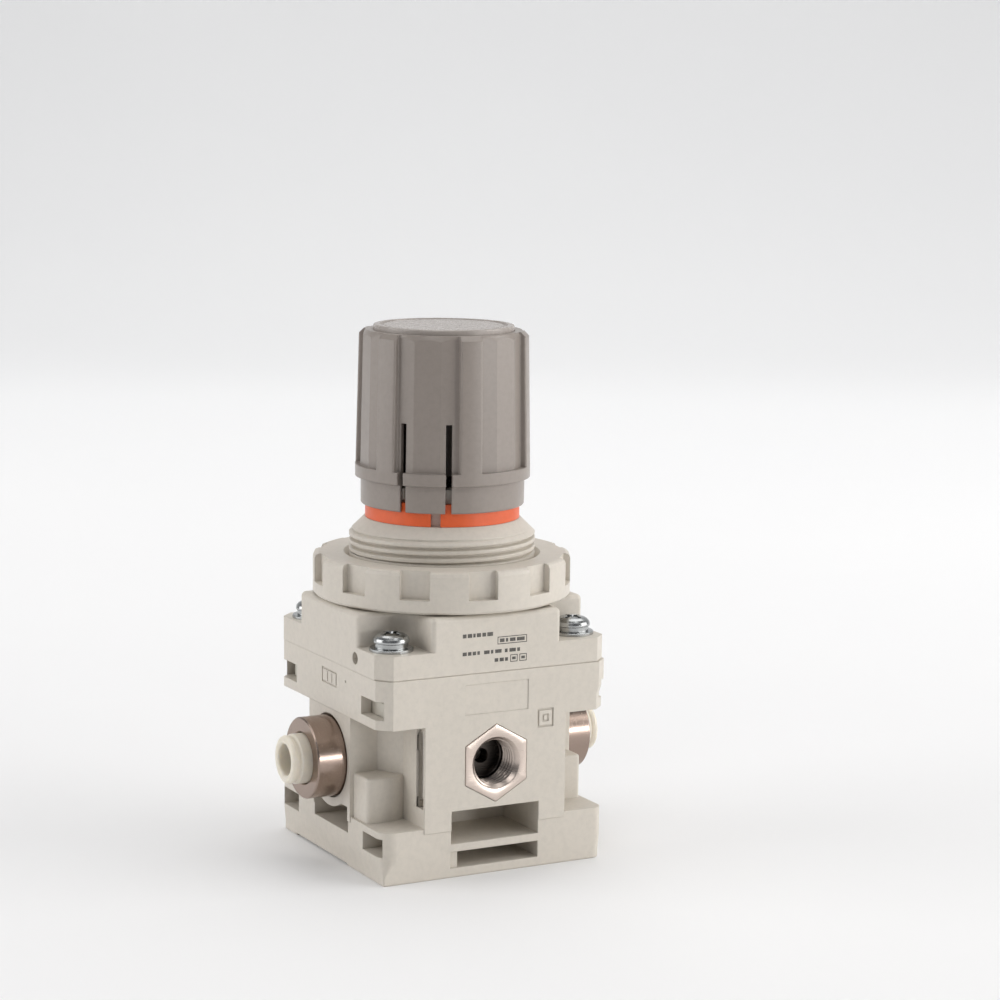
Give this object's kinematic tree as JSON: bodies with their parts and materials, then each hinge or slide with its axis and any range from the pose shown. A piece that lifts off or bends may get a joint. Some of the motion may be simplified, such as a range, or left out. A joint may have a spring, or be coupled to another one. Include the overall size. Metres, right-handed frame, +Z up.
{
  "type": "vacuum regulator",
  "caption": "Compact vacuum regulator with pull-to-unlock adjusting knob, threaded panel neck with ring nut, push-in tube sockets and a gauge port.",
  "frame": {"origin": "centre of the square footprint, on the surface that the body stands on", "axes": "+Z up along the knob's axis; -Y is the face with the gauge port; -X and +X are the tube sockets"},
  "size_m": [0.068, 0.051, 0.1044],
  "materials": {
    "body_resin": "warm light grey moulded resin, fine satin",
    "knob_resin": "warm mid grey moulded resin, fine satin",
    "lock_orange": "orange moulded resin, satin",
    "bright_steel": "turned steel",
    "spring_steel": "drawn spring wire",
    "black_rubber": "moulded nitrile rubber",
    "brass_metal": "turned brass",
    "nickel_plate": "nickel plated brass, turned, semi-bright",
    "filter_felt": "sintered filter disc",
    "zinc_steel": "bright zinc plate",
    "stainless_clip": "stamped stainless sheet",
    "white_resin": "milky white acetal"
  },
  "bodies": {
    "housing": {"body_housing": "body_resin", "bonnet": "body_resin", "bonnet_lock_washers": "zinc_steel", "bonnet_screws": "zinc_steel", "bonnet_washers": "zinc_steel", "bottom_plug": "body_resin", "bottom_plug_o_ring": "black_rubber", "corner_nuts": "zinc_steel", "diaphragm": "black_rubber", "fitting_clip_left": "stainless_clip", "fitting_clip_right": "stainless_clip", "fitting_o_ring_left": "black_rubber", "fitting_o_ring_right": "black_rubber", "fitting_sleeve_left": "nickel_plate", "fitting_sleeve_right": "nickel_plate", "gauge_port_insert": "nickel_plate", "gauge_port_o_ring": "black_rubber", "grip_collet_left": "spring_steel", "grip_collet_right": "spring_steel", "inlet_filter": "filter_felt", "lock_ring": "lock_orange", "seal_retainer_left": "brass_metal", "seal_retainer_right": "brass_metal", "set_spring": "spring_steel", "spindle_o_ring": "black_rubber", "tube_seal_left": "black_rubber", "tube_seal_right": "black_rubber", "valve_spring": "spring_steel"},
    "spindle": {"adjusting_spindle": "bright_steel", "spindle_retaining_ring": "spring_steel"},
    "knob": {"knob": "knob_resin", "knob_cap": "knob_resin"},
    "spring_nut": {"spring_nut": "brass_metal"},
    "diaphragm_stack": {"diaphragm_plate_lower": "bright_steel", "diaphragm_plate_upper": "bright_steel", "plate_rivet_washer": "bright_steel"},
    "valve": {"valve_poppet": "brass_metal", "valve_seal": "black_rubber"},
    "panel_nut": {"panel_nut": "body_resin"},
    "button_left": {"release_button_left": "white_resin"},
    "button_right": {"release_button_right": "white_resin"}
  },
  "joints": [
    {"name": "spindle_turn", "type": "hinge", "parent": "housing", "child": "spindle", "pos_m": [0, 0, 0.0685], "axis": [0, 0, 1], "range_deg": [-1440.2, 540.2]},
    {"name": "knob_lock", "type": "slide", "parent": "spindle", "child": "knob", "axis": [0, 0, 1], "range_m": [-0.00255, 0]},
    {"name": "spring_nut_travel", "type": "slide", "parent": "housing", "child": "spring_nut", "axis": [0, 0, 1], "range_m": [-0.005, 0.00187], "deforming": ["set_spring"]},
    {"name": "diaphragm_stroke", "type": "slide", "parent": "housing", "child": "diaphragm_stack", "axis": [0, 0, 1], "range_m": [-0.0006, 0], "stiffness_N_per_m": 2000, "deforming": ["diaphragm", "set_spring"]},
    {"name": "valve_stroke", "type": "slide", "parent": "housing", "child": "valve", "axis": [0, 0, 1], "range_m": [-0.000601, 0], "deforming": ["valve_spring"]},
    {"name": "panel_nut_turn", "type": "hinge", "parent": "housing", "child": "panel_nut", "pos_m": [0, 0, 0.056], "axis": [0, 0, 1], "continuous": true},
    {"name": "button_left_press", "type": "slide", "parent": "housing", "child": "button_left", "axis": [1, 0, 0], "range_m": [0, 0.0009], "stiffness_N_per_m": 800},
    {"name": "button_right_press", "type": "slide", "parent": "housing", "child": "button_right", "axis": [-1, 0, 0], "range_m": [0, 0.0009], "stiffness_N_per_m": 800}
  ],
  "couplings": [
    {"joint": "spindle_turn", "follows": "spring_nut_travel", "rad_per_m": 5026.5},
    {"joint": "valve_stroke", "follows": "diaphragm_stroke", "ratio": 1}
  ]
}
